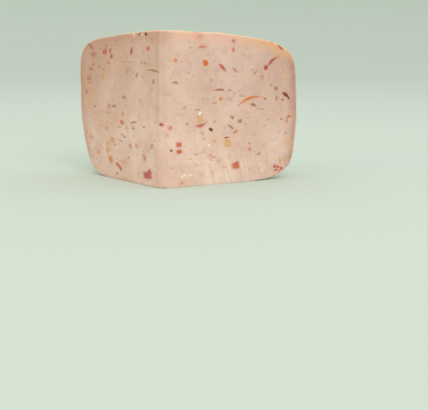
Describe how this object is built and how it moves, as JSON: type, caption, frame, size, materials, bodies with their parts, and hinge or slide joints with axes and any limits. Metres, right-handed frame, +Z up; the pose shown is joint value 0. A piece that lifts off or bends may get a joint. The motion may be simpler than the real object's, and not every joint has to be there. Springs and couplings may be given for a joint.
{
  "type": "chili cheese wedge",
  "caption": "Quarter wedge of a small pale cheese wheel with chili and herb flakes in its two cut faces and a rounded rind behind.",
  "frame": {"origin": "middle of the bounding box, on the flat foot that the wedge stands on", "axes": "+Z up, -Y towards the sharp edge between the two cut faces, +Y towards the rind, +X to the right as the sharp edge is looked at"},
  "size_m": [0.1448, 0.1022, 0.09],
  "materials": {
    "chili_cheese": "moist cut paste, satin"
  },
  "bodies": {
    "root": {"cheese_wedge": "chili_cheese"}
  },
  "joints": []
}
